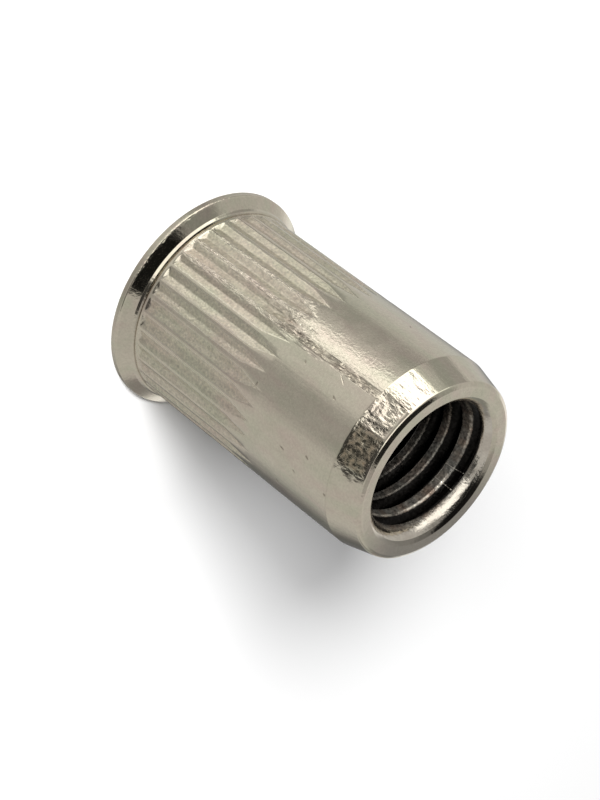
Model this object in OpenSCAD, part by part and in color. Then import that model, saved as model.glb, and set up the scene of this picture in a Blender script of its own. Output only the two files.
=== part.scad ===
// Knurled rivet nut, turned from one piece and standing on its head.
// Z = 0 is the flat outer face of the head, and +Z runs along the axis to the nose.

/* [Shank] */
// Diameter of the shank, and of the hole that it is set in
shank_d = 11; // [10.2:0.1:13.5]
// Length of the whole nut, from the head's face to the nose
nut_length = 17.7; // [14.5:0.1:26]
// Depth of the fine groove where the shank meets the head
neck_groove = 0.06; // [0.02:0.01:0.12]

/* [Head] */
// How far the rim stands out past the shank, all round
head_overhang = 0.7; // [0.4:0.05:2]
// Height of the rim's straight side
rim_h = 0.35; // [0.2:0.05:0.8]
// Height of the sloping underside, from the rim's side to the shank
underside_h = 0.7; // [0.3:0.05:1.5]
// Bevel on the outer corner of the rim
rim_bevel = 0.06; // [0.02:0.01:0.15]

/* [Knurl] */
// Number of grooves around the shank
groove_count = 37; // [24:1:48]
// Depth of each groove at its middle
groove_depth = 0.15; // [0.1:0.01:0.25]
// Width of plain shank left on each rib, between two grooves
rib_land = 0.08; // [0.04:0.01:0.2]
// Plain length of shank between the head and the grooves
groove_gap = 0.2; // [0.15:0.05:1]
// Length over which a groove reaches its depth at the head end
groove_lead_in = 0.2; // [0.15:0.05:0.5]
// Length of groove at its full depth
groove_full = 7; // [4:0.1:8.5]
// Length over which a groove rises out of the shank at the nose end
groove_run_out = 1.8; // [1:0.1:2.2]

/* [Nose] */
// Length of the tapered nose
nose_h = 1.85; // [1:0.05:2.2]
// Slope of the tapered nose, in degrees from the axis
nose_slope = 14.5; // [8:0.5:16]
// Radius of the round between the taper and the end face
nose_round = 0.4; // [0.1:0.05:0.5]

/* [Bore] */
// Major diameter of the thread
thread_d = 8; // [6:0.1:8.1]
// Pitch of the thread
thread_pitch = 1.25; // [0.75:0.25:1.25]
// Length from the start of the thread to the nose, countersink included
thread_h = 8.1; // [5:0.1:10]
// How much wider the countersink is than the thread
countersink_over = 0.4; // [0.2:0.05:0.5]
// Full angle of the countersink, in degrees
countersink_angle = 90; // [60:5:120]
// Wall around the plain bore, which folds when the nut is set
plain_wall = 0.9; // [0.6:0.05:0.95]
// Slope of the cone between plain bore and thread, in degrees from the axis
bore_cone_slope = 60; // [45:1:70]
// Bevel at the mouth of the plain bore, in the head's face
mouth_bevel = 0.25; // [0.1:0.05:0.4]

/* [Hidden] */
$fn = 180;

// How far a cutter reaches past the faces that it cuts; small, so that two grooves' cutters stay apart
overcut = 0.2;
// How far above the shank a groove's cutter starts and ends
groove_lift = 0.02;
// Angle from +X to the middle of the first groove, in degrees
groove_turn = 3.45;
// Straight steps in the round at the nose
round_steps = 6;
// Minor diameter over pitch, below the major diameter, of a metric internal thread
minor_drop = 1.0825;

shank_r = shank_d / 2;
head_r = shank_r + head_overhang;
head_h = rim_h + underside_h;

nose_z = nut_length - nose_h;
nose_end_r = shank_r - nose_h * tan(nose_slope);
nose_turn = 90 - nose_slope;
round_r = nose_end_r - nose_round * tan(nose_turn / 2);
round_z = nut_length - nose_round;

thread_minor_r = (thread_d - minor_drop * thread_pitch) / 2;
thread_z = nut_length - thread_h;
countersink_r = (thread_d + countersink_over) / 2;
countersink_h = (countersink_r - thread_minor_r) / tan(countersink_angle / 2);
plain_bore_r = shank_r - plain_wall;
bore_cone_h = (plain_bore_r - thread_minor_r) / tan(bore_cone_slope);

groove_root_r = shank_r - groove_depth;
groove_z = head_h + groove_gap;
groove_full_z = groove_z + groove_lead_in;
groove_rise_z = groove_full_z + groove_full;
groove_end_z = groove_rise_z + groove_run_out;
// Half of the angle that one groove takes up at the shank's surface, in degrees
groove_edge_angle = 180 / groove_count - rib_land / 2 / shank_r * 180 / PI;
// Slope of a groove's two flanks, in degrees from the surface at its middle
flank_slope = atan((shank_r * cos(groove_edge_angle) - groove_root_r)
    / (shank_r * sin(groove_edge_angle)));

// Turned outside: rim, sloping underside, neck groove, shank and tapered nose
module turned_outside() {
    rotate_extrude()
        polygon(concat(
            [
                [0, 0],
                [head_r - rim_bevel, 0],
                [head_r, rim_bevel],
                [head_r, rim_h],
                [shank_r, head_h - neck_groove],
                [shank_r - neck_groove, head_h],
                [shank_r, head_h + neck_groove],
                [shank_r, nose_z]
            ],
            [
                for (i = [0 : round_steps])
                    let (a = nose_slope + nose_turn * i / round_steps)
                        [round_r + nose_round * cos(a), round_z + nose_round * sin(a)]
            ],
            [[0, nut_length]]
        ));
}

// Bored inside: mouth bevel, plain bore, cone, thread at its minor diameter, countersink
module bored_inside() {
    rotate_extrude()
        polygon([
            [0, -overcut],
            [plain_bore_r + mouth_bevel + overcut, -overcut],
            [plain_bore_r, mouth_bevel],
            [plain_bore_r, thread_z - bore_cone_h],
            [thread_minor_r, thread_z],
            [thread_minor_r, nut_length - countersink_h],
            [countersink_r + overcut * tan(countersink_angle / 2), nut_length + overcut],
            [0, nut_length + overcut]
        ]);
}

// Everything outside one flank of a groove: the groove's side view, drawn out along the flank.
// side is 1 or -1, for the flank to the left or to the right of the groove's middle.
module outside_flank(side) {
    // The radii as they look from along the flank
    root = groove_root_r * cos(flank_slope);
    top = (shank_r + groove_lift) * cos(flank_slope);
    // Length along the axis by which the lifted cutter ends late
    late = groove_lift * groove_run_out / groove_depth;
    far = top + overcut;
    rotate([90, 0, -side * flank_slope])
        linear_extrude(height = 4 * shank_r, center = true)
            polygon([
                [root, groove_z - overcut],
                [root, groove_rise_z],
                [top, groove_end_z + late],
                [far, groove_end_z + late],
                [far, groove_z - overcut]
            ]);
}

// Everything on the nose side of the sloping wall with which a groove starts
module past_start_wall() {
    // Lengths along the axis that the wall takes to the cutter's top, and to below the root
    early = groove_lift * groove_lead_in / groove_depth;
    deeper = overcut * groove_lead_in / groove_depth;
    rotate([90, 0, 0])
        linear_extrude(height = shank_r, center = true)
            polygon([
                [shank_r + groove_lift, groove_z - early],
                [groove_root_r - overcut, groove_full_z + deeper],
                [groove_root_r - overcut, groove_end_z + overcut],
                [shank_r + groove_lift, groove_end_z + overcut]
            ]);
}

// One V groove, with a steep start under the head and a long rise towards the nose
module knurl_groove() {
    intersection() {
        outside_flank(1);
        outside_flank(-1);
        past_start_wall();
    }
}

// The nut: turned outside, bored inside, grooved below the head
module rivet_nut() {
    color([0.66, 0.6, 0.5])
        difference() {
            turned_outside();
            bored_inside();
            for (i = [0 : groove_count - 1])
                rotate(groove_turn + i * 360 / groove_count) knurl_groove();
        }
}

rivet_nut();
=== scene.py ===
"""Looks of the knurled rivet nut: one fine mesh in its true shape, its plating, and a small studio.

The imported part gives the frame. The nut stands on its head, and +Z runs along its axis to the nose.
Sizes are in millimetres where a name ends in _mm, and in metres everywhere else. Azimuths are in
degrees, counted from +X.
"""
import logging
import math
from dataclasses import dataclass, field
from enum import Enum
from typing import Optional, Union

import bpy
from mathutils import Matrix, Vector


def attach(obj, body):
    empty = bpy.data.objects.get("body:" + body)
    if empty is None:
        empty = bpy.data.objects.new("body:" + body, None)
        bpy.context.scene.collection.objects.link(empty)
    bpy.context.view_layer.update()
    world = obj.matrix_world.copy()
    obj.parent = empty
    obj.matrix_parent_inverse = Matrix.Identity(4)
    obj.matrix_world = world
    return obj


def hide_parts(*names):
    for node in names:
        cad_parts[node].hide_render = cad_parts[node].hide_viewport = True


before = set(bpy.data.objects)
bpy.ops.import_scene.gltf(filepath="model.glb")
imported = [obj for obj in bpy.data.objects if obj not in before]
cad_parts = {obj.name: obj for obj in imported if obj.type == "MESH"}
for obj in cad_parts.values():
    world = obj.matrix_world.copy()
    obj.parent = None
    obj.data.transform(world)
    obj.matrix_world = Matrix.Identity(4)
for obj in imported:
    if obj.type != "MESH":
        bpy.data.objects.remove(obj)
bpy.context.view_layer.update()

log = logging.getLogger("rivet_nut")
MM = 0.001
Point = tuple[float, float]
Range = tuple[float, float]
Colour = tuple[float, float, float]
# One radian in degrees
RADIAN = 180 / math.pi
HALF_TURN_DEG = 180.0


class Kind(Enum):
    """The two kinds of node tree that the script builds."""

    GEOMETRY = "GeometryNodeTree"
    SHADER = "ShaderNodeTree"


@dataclass(frozen=True)
class Term:
    """A value that flows through a node tree. Arithmetic on it adds nodes to the tree."""

    tree: bpy.types.NodeTree
    socket: bpy.types.NodeSocket

    def math(self, operation: str, *others: "Number") -> "Term":
        """One Math node with this value first.

        Args:
            operation: The node's operation, such as "ADD".
            others: The values after this one.

        Returns:
            The node's result.
        """
        return math_node(self.tree, operation, self, *others)

    def __add__(self, other: "Number") -> "Term":
        """Sum."""
        return self.math("ADD", other)

    def __sub__(self, other: "Number") -> "Term":
        """Difference."""
        return self.math("SUBTRACT", other)

    def __mul__(self, other: "Number") -> "Term":
        """Product."""
        return self.math("MULTIPLY", other)

    def __truediv__(self, other: "Number") -> "Term":
        """Quotient."""
        return self.math("DIVIDE", other)

    def __rsub__(self, other: float) -> "Term":
        """A plain number less this value."""
        return math_node(self.tree, "SUBTRACT", other, self)

    def __neg__(self) -> "Term":
        """This value with its sign turned."""
        return self.math("MULTIPLY", -1.0)

    def clamp(self, low: "Number" = 0.0, high: "Number" = 1.0) -> "Term":
        """This value held between low and high."""
        return self.math("MAXIMUM", low).math("MINIMUM", high)

    def blend(self, first: "Number", second: "Number") -> "Term":
        """A number between two others: the first where this value is 0, the second where it is 1."""
        return self * (second - first) + first

    def ramp(self, start: "Number", end: "Number", low: float = 0.0, high: float = 1.0) -> "Term":
        """A straight ramp: low up to start, high from end on."""
        return map_range(self, start, end, low, high, "LINEAR")

    def ease(self, start: "Number", end: "Number", low: float = 0.0, high: float = 1.0) -> "Term":
        """A ramp with rounded ends."""
        return map_range(self, start, end, low, high, "SMOOTHSTEP")

    def window(self, start: float, end: float, soft: float) -> "Term":
        """A mask with two soft edges.

        Args:
            start: Middle of the first edge.
            end: Middle of the other edge.
            soft: Half the width of an edge.

        Returns:
            One between the edges, fading to nothing over them.
        """
        rise = self.ease(start - soft, start + soft)
        fall = self.ease(end - soft, end + soft, 1.0, 0.0)
        return rise * fall


Number = Union[Term, float]


def feed(tree: bpy.types.NodeTree, place: bpy.types.NodeSocket, value: object) -> None:
    """Links a term into a socket, or sets a plain value on it.

    Args:
        tree: The tree that holds the socket.
        place: An input socket.
        value: A Term, a socket or a plain value.
    """
    if isinstance(value, Term):
        tree.links.new(value.socket, place)
    elif isinstance(value, bpy.types.NodeSocket):
        tree.links.new(value, place)
    else:
        place.default_value = value


def add_node(tree: bpy.types.NodeTree, kind: str, inputs: Optional[dict] = None,
             **settings: object) -> bpy.types.Node:
    """Adds a node, sets it up and feeds its inputs.

    Args:
        tree: The tree to add to.
        kind: The node's type name.
        inputs: Values by input name or place.
        settings: Properties of the node itself.

    Returns:
        The node.
    """
    node = tree.nodes.new(kind)
    for name, value in settings.items():
        setattr(node, name, value)
    for name, value in (inputs or {}).items():
        feed(tree, node.inputs[name], value)
    return node


def source(tree: bpy.types.NodeTree, kind: str, output: Union[int, str]) -> Term:
    """An output of a new node that takes nothing in."""
    return Term(tree, add_node(tree, kind).outputs[output])


def math_node(tree: bpy.types.NodeTree, operation: str, *values: Number) -> Term:
    """A Math node on the given values."""
    node = add_node(tree, "ShaderNodeMath", dict(enumerate(values)), operation=operation)
    return Term(tree, node.outputs[0])


def map_range(value: Term, start: Number, end: Number, low: Number, high: Number, shape: str) -> Term:
    """A Map Range node.

    Args:
        value: The value to map.
        start: The value that gives low.
        end: The value that gives high.
        low: The result at start.
        high: The result at end.
        shape: LINEAR or SMOOTHSTEP.

    Returns:
        The mapped value, held between low and high.
    """
    node = add_node(value.tree, "ShaderNodeMapRange", dict(enumerate((value, start, end, low, high))),
                    interpolation_type=shape)
    return Term(value.tree, node.outputs[0])


def combine(tree: bpy.types.NodeTree, x: Number, y: Number, z: Number) -> Term:
    """A vector from three numbers."""
    return Term(tree, add_node(tree, "ShaderNodeCombineXYZ", {0: x, 1: y, 2: z}).outputs[0])


def separate(vector: Term) -> tuple[Term, Term, Term]:
    """The three numbers of a vector."""
    node = add_node(vector.tree, "ShaderNodeSeparateXYZ", {0: vector})
    return tuple(Term(vector.tree, output) for output in node.outputs)


def distance(x: Term, y: Term) -> Term:
    """Distance of a place from the axis."""
    return (x * x + y * y).math("SQRT")


def azimuth_of(x: Term, y: Term) -> Term:
    """Azimuth of a place, in degrees."""
    return y.math("ARCTAN2", x) * RADIAN


def noise(place: Term, grain_mm: Number, detail: float = 2.0, seed: Number = 0.0, twist: float = 0.0) -> Term:
    """A soft random pattern.

    Args:
        place: Where to read it, in metres.
        grain_mm: The size of its largest blots.
        detail: How many finer layers it has.
        seed: Another value gives another pattern.
        twist: How far it is bent out of shape.

    Returns:
        A value about 0.5, between 0 and 1.
    """
    plain = isinstance(grain_mm, float)
    scale = 1 / (grain_mm * MM) if plain else math_node(place.tree, "DIVIDE", 1 / MM, grain_mm)
    node = add_node(place.tree, "ShaderNodeTexNoise",
                    {"Vector": place, "W": seed, "Scale": scale, "Detail": detail, "Distortion": twist},
                    noise_dimensions="4D")
    return Term(place.tree, node.outputs[0])


def drawn_out(point: Term, share: float) -> Term:
    """A point whose height counts by a share only, so that a pattern read there is longer along the axis."""
    node = add_node(point.tree, "ShaderNodeVectorMath", {0: point, 1: (1.0, 1.0, share)},
                    operation="MULTIPLY")
    return Term(point.tree, node.outputs[0])


def toned(colour: Term, tone: Term) -> Term:
    """A colour times a number."""
    node = add_node(colour.tree, "ShaderNodeVectorMath", {0: colour, "Scale": tone}, operation="SCALE")
    return Term(colour.tree, node.outputs[0])


def mixed(share: Term, first: object, second: object) -> Term:
    """A colour between two others: the first where the share is 0, the second where it is 1."""
    node = add_node(share.tree, "ShaderNodeMix", {0: share, 6: first, 7: second}, data_type="RGBA")
    return Term(share.tree, node.outputs[2])


def opaque(colour: Colour) -> tuple[float, ...]:
    """A colour as a socket takes it."""
    return (*colour, 1.0)


def mouth_wall(below: Term, mouth: Number, drop: Number, depth: Number, taper: Number) -> Term:
    """Radius of the rounded countersink, as a term.

    Args:
        below: Distance below the end face.
        mouth: Its radius at the end face.
        drop: How far its corner narrows.
        depth: The depth over which the corner narrows most.
        taper: How much it narrows for each unit of depth besides.

    Returns:
        The radius, in the unit of the sizes given.
    """
    corner = 1.0 - (-below / depth).math("EXPONENT")
    return math_node(below.tree, "SUBTRACT", mouth, corner * drop + below * taper)


def new_tree(name: str, kind: Kind, inputs: dict[str, tuple[str, object]], outputs: dict[str, str]) -> tuple:
    """Makes a node group with named sockets.

    Args:
        name: The group's name.
        kind: Geometry or shader.
        inputs: For each input, its socket type and its default.
        outputs: For each output, its socket type.

    Returns:
        The tree, its inputs as terms by name, and its output node.
    """
    tree = bpy.data.node_groups.new(name, kind.value)
    for label, (socket_type, default) in inputs.items():
        socket = tree.interface.new_socket(name=label, in_out="INPUT", socket_type=socket_type)
        if default is not None:
            socket.default_value = default
    for label, socket_type in outputs.items():
        tree.interface.new_socket(name=label, in_out="OUTPUT", socket_type=socket_type)
    entry = tree.nodes.new("NodeGroupInput")
    leave = tree.nodes.new("NodeGroupOutput")
    return tree, {label: Term(tree, entry.outputs[label]) for label in inputs}, leave


def linked(name: str, data: bpy.types.ID) -> bpy.types.Object:
    """Makes an object and puts it into the scene.

    Args:
        name: The object's name.
        data: Its mesh, camera or lamp.

    Returns:
        The object.
    """
    obj = bpy.data.objects.new(name, data)
    bpy.context.scene.collection.objects.link(obj)
    return obj


@dataclass(frozen=True)
class Area:
    """A patch of the nut's surface between two azimuths and two heights, with soft edges."""

    azimuths: Range
    heights_mm: Range
    soft_deg: float
    soft_mm: float
    # How strong it is inside
    share: float = 1.0

    def mask(self, azimuth: Term, height: Term, unit: float = 1.0) -> Term:
        """How far a point belongs to the patch.

        Args:
            azimuth: The point's azimuth.
            height: The point's height.
            unit: A millimetre in the height's unit.

        Returns:
            The patch's share inside, fading to nothing at the edges.
        """
        low, high = self.heights_mm
        inside = azimuth.window(*self.azimuths, self.soft_deg)
        return inside * height.window(low * unit, high * unit, self.soft_mm * unit) * self.share


@dataclass(frozen=True)
class Unevenness:
    """A random rise and fall of the surface."""

    grain_mm: float
    height_mm: float
    # The pattern's value, from 0 to 1, at which the surface keeps its place
    middle: float
    seed: float = 0.0
    detail: float = 2.0
    twist: float = 0.0

    def rise(self, point: Term, seed: Term) -> Term:
        """How far it raises a point, in metres."""
        pattern = noise(point, self.grain_mm, self.detail, seed + self.seed, self.twist)
        return (pattern - self.middle) * (self.height_mm * MM)


@dataclass(frozen=True)
class Corner:
    """A corner of the nut's section, at a radius and a height, with the radius of its round."""

    radius_mm: float
    height_mm: float
    round_mm: float = 0.0
    # Longest step between rows on the straight stretch after this corner
    step_mm: float = 0.5
    # Whether the stretches that meet here keep flat right up to it
    crisp: bool = True


@dataclass(frozen=True)
class Section:
    """The section of a turned part, from one open end to the other."""

    corners: tuple[Corner, ...]
    arc_steps: int = 4
    # Distance of the first row from each crisp end of a straight stretch
    margin_mm: float = 0.03
    # Shortest step between two rows
    least_mm: float = 0.004

    def rounded(self, before: Corner, corner: Corner, after: Corner) -> list[Point]:
        """The points of one corner: a single one, or an arc that touches both sides.

        Args:
            before: The corner before it.
            corner: The corner itself.
            after: The corner after it.

        Returns:
            Points as radius and height, in millimetres.
        """
        here = Vector((corner.radius_mm, corner.height_mm))
        if corner.round_mm == 0:
            return [tuple(here)]
        back = (Vector((before.radius_mm, before.height_mm)) - here).normalized()
        ahead = (Vector((after.radius_mm, after.height_mm)) - here).normalized()
        half = back.angle(ahead) / 2
        reach = corner.round_mm / math.tan(half)
        centre = here + (back + ahead).normalized() * (corner.round_mm / math.sin(half))
        first = here + back * reach - centre
        turn = first.angle_signed(here + ahead * reach - centre)
        points = []
        for i in range(self.arc_steps + 1):
            spoke = Matrix.Rotation(-turn * i / self.arc_steps, 2) @ first
            points.append(tuple(centre + spoke))
        return points

    def straight(self, start: Point, end: Point, step_mm: float, crisp: tuple[bool, bool]) -> list[Point]:
        """Points between two ends, the ends left out.

        Args:
            start: The first end.
            end: The other end.
            step_mm: The longest step between rows.
            crisp: Whether each end has a row close to it.

        Returns:
            Points at even steps.
        """
        a, b = Vector(start), Vector(end)
        length = (b - a).length
        low = self.margin_mm if crisp[0] else 0.0
        high = length - (self.margin_mm if crisp[1] else 0.0)
        if high < low:
            return []
        count = max(1, math.ceil((high - low) / step_mm))
        along = [low + (high - low) * i / count for i in range(count + 1)]
        return [tuple(a.lerp(b, s / length)) for s in along if self.least_mm < s < length - self.least_mm]

    def points(self) -> list[Point]:
        """All points of the section.

        Returns:
            Points as radius and height, in millimetres, in order.
        """
        last = len(self.corners) - 1
        ends = [self.rounded(self.corners[max(i - 1, 0)], c, self.corners[min(i + 1, last)])
                for i, c in enumerate(self.corners)]
        path: list[Point] = []
        for i, stretch in enumerate(ends):
            path += stretch
            if i < last:
                crisp = (self.corners[i].crisp, self.corners[i + 1].crisp)
                path += self.straight(stretch[-1], ends[i + 1][0], self.corners[i].step_mm, crisp)
        return path


@dataclass(frozen=True)
class NutSizes:
    """The nut's driving sizes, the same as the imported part's, and the finer ones that only show."""

    shank_r_mm: float = 5.5
    length_mm: float = 17.7
    neck_groove_mm: float = 0.06
    head_r_mm: float = 6.2
    rim_h_mm: float = 0.35
    underside_h_mm: float = 0.7
    groove_count: int = 37
    groove_depth_mm: float = 0.15
    rib_land_mm: float = 0.08
    groove_gap_mm: float = 0.2
    groove_lead_in_mm: float = 0.2
    groove_full_mm: float = 7.0
    groove_run_out_mm: float = 1.8
    groove_turn_deg: float = 3.45
    nose_h_mm: float = 1.85
    nose_slope_deg: float = 14.5
    thread_r_mm: float = 4.0
    thread_pitch_mm: float = 1.25
    minor_drop: float = 1.0825
    thread_h_mm: float = 8.1
    mouth_r_mm: float = 4.26
    plain_wall_mm: float = 0.9
    bore_cone_deg: float = 60.0
    mouth_bevel_mm: float = 0.25
    # Radii of the narrow collar between the head's underside and the neck
    collar_r_mm: float = 5.66
    collar_top_r_mm: float = 5.59
    collar_h_mm: float = 0.14
    # The rounded countersink: how far its corner narrows, over what depth, and its taper below that
    mouth_drop_mm: float = 0.53
    mouth_h_mm: float = 0.305
    mouth_taper: float = 0.15
    # Height by which the thread is shifted down its own axis
    thread_shift_mm: float = 0.325
    # How often the search for a depth halves its range
    HALVINGS = 40

    @property
    def head_h_mm(self) -> float:
        """Height of the head, from its face to the neck."""
        return self.rim_h_mm + self.underside_h_mm

    @property
    def groove_z_mm(self) -> float:
        """Height at which the grooves start."""
        return self.head_h_mm + self.groove_gap_mm

    @property
    def groove_full_z_mm(self) -> float:
        """Height at which a groove reaches its depth."""
        return self.groove_z_mm + self.groove_lead_in_mm

    @property
    def groove_rise_z_mm(self) -> float:
        """Height at which a groove starts to rise out of the shank."""
        return self.groove_full_z_mm + self.groove_full_mm

    @property
    def groove_end_z_mm(self) -> float:
        """Height at which the grooves end."""
        return self.groove_rise_z_mm + self.groove_run_out_mm

    @property
    def nose_z_mm(self) -> float:
        """Height at which the nose starts to taper."""
        return self.length_mm - self.nose_h_mm

    @property
    def nose_end_r_mm(self) -> float:
        """Radius at which the taper, drawn on, meets the end face."""
        return self.shank_r_mm - self.nose_h_mm * math.tan(math.radians(self.nose_slope_deg))

    @property
    def minor_r_mm(self) -> float:
        """Radius of the thread's crests."""
        return self.thread_r_mm - self.minor_drop * self.thread_pitch_mm / 2

    @property
    def thread_z_mm(self) -> float:
        """Height at which the thread starts."""
        return self.length_mm - self.thread_h_mm

    @property
    def thread_top_z_mm(self) -> float:
        """Height at which the rounded countersink is as wide as the thread's roots."""
        return self.length_mm - self.mouth_cut_mm

    @property
    def collar_z_mm(self) -> float:
        """Where the head's underside ends in the collar.

        Returns:
            A height.
        """
        neck_z = self.head_h_mm - self.neck_groove_mm
        share = (self.head_r_mm - self.collar_r_mm) / (self.head_r_mm - self.shank_r_mm)
        return self.rim_h_mm + (neck_z - self.rim_h_mm) * share

    @property
    def flank_slope(self) -> float:
        """Slope of a groove's flanks, from the surface at its middle.

        Returns:
            The slope as a tangent.
        """
        edge = math.pi / self.groove_count - self.rib_land_mm / 2 / self.shank_r_mm
        root = self.shank_r_mm - self.groove_depth_mm
        return (self.shank_r_mm * math.cos(edge) - root) / (self.shank_r_mm * math.sin(edge))

    def mouth_radius_mm(self, depth_mm: float) -> float:
        """Radius of the rounded countersink at a depth below the end face."""
        corner = self.mouth_drop_mm * (1 - math.exp(-depth_mm / self.mouth_h_mm))
        return self.mouth_r_mm - corner - self.mouth_taper * depth_mm

    @property
    def mouth_cut_mm(self) -> float:
        """Where the rounded countersink is as wide as the thread's roots.

        Returns:
            A depth below the end face.
        """
        low, high = 0.0, self.thread_h_mm
        for _ in range(self.HALVINGS):
            middle = (low + high) / 2
            if self.mouth_radius_mm(middle) > self.thread_r_mm:
                low = middle
            else:
                high = middle
        return low


@dataclass(frozen=True)
class Knurl:
    """How finely the grooves are meshed, and how they differ from each other."""

    # Columns of vertices for each groove
    columns: int = 10
    # How far columns are drawn to the groove's root and edges
    gather: float = 0.06
    # How far from a groove's middle, in grooves, a column lies on a rib and keeps its angle
    on_rib: float = 0.45
    # The narrowest that a groove's columns get where it fades, as a share of its width
    least_width: float = 0.22
    # Softness of the edge between flank and rib
    edge_mm: float = 0.014
    # Height above the end of the grooves over which the columns spread out again
    spread_mm: float = 2.5
    # How much shallower, and how much shorter, the weakest groove is
    shallower: float = 0.15
    shallower_seed: float = 0.7
    shorter_mm: float = 0.5
    shorter_seed: float = 0.3
    # How far a flank is raised or lowered along its length, over what length that changes, and how
    # far apart two grooves lie in its pattern
    sway_mm: float = 0.05
    sway_length_mm: float = 1.0
    sway_apart_mm: float = 10.0
    sway_seed: float = 2.0


@dataclass(frozen=True)
class ThreadForm:
    """The thread's form along one pitch, in shares of the pitch, from a crest's inner edge."""

    crest: float = 0.42
    flank: float = 0.25
    root: float = 0.08
    # Rows on a crest and on a flank, besides the two close to its edges; a root has none
    crest_rows: int = 0
    flank_rows: int = 1
    edge_share: float = 0.045
    # Height over which the thread starts at its inner end, in pitches
    start_fade: float = 0.8

    @property
    def root_centre(self) -> float:
        """Middle of the root."""
        return self.crest + self.flank + self.root / 2

    def row_places(self) -> list[float]:
        """Places of the rows along one pitch.

        Returns:
            Shares of the pitch, from 0 to 1.
        """
        root_start = self.crest + self.flank
        root_end = root_start + self.root
        stretches = ((0.0, self.crest, self.crest_rows), (self.crest, root_start, self.flank_rows),
                     (root_start, root_end, None), (root_end, 1.0, self.flank_rows))
        places = [0.0]
        for start, end, inner in stretches:
            if inner is not None:
                low, high = start + self.edge_share, end - self.edge_share
                places += [low + (high - low) * i / (inner + 1) for i in range(inner + 2)]
            places.append(end)
        return places


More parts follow.
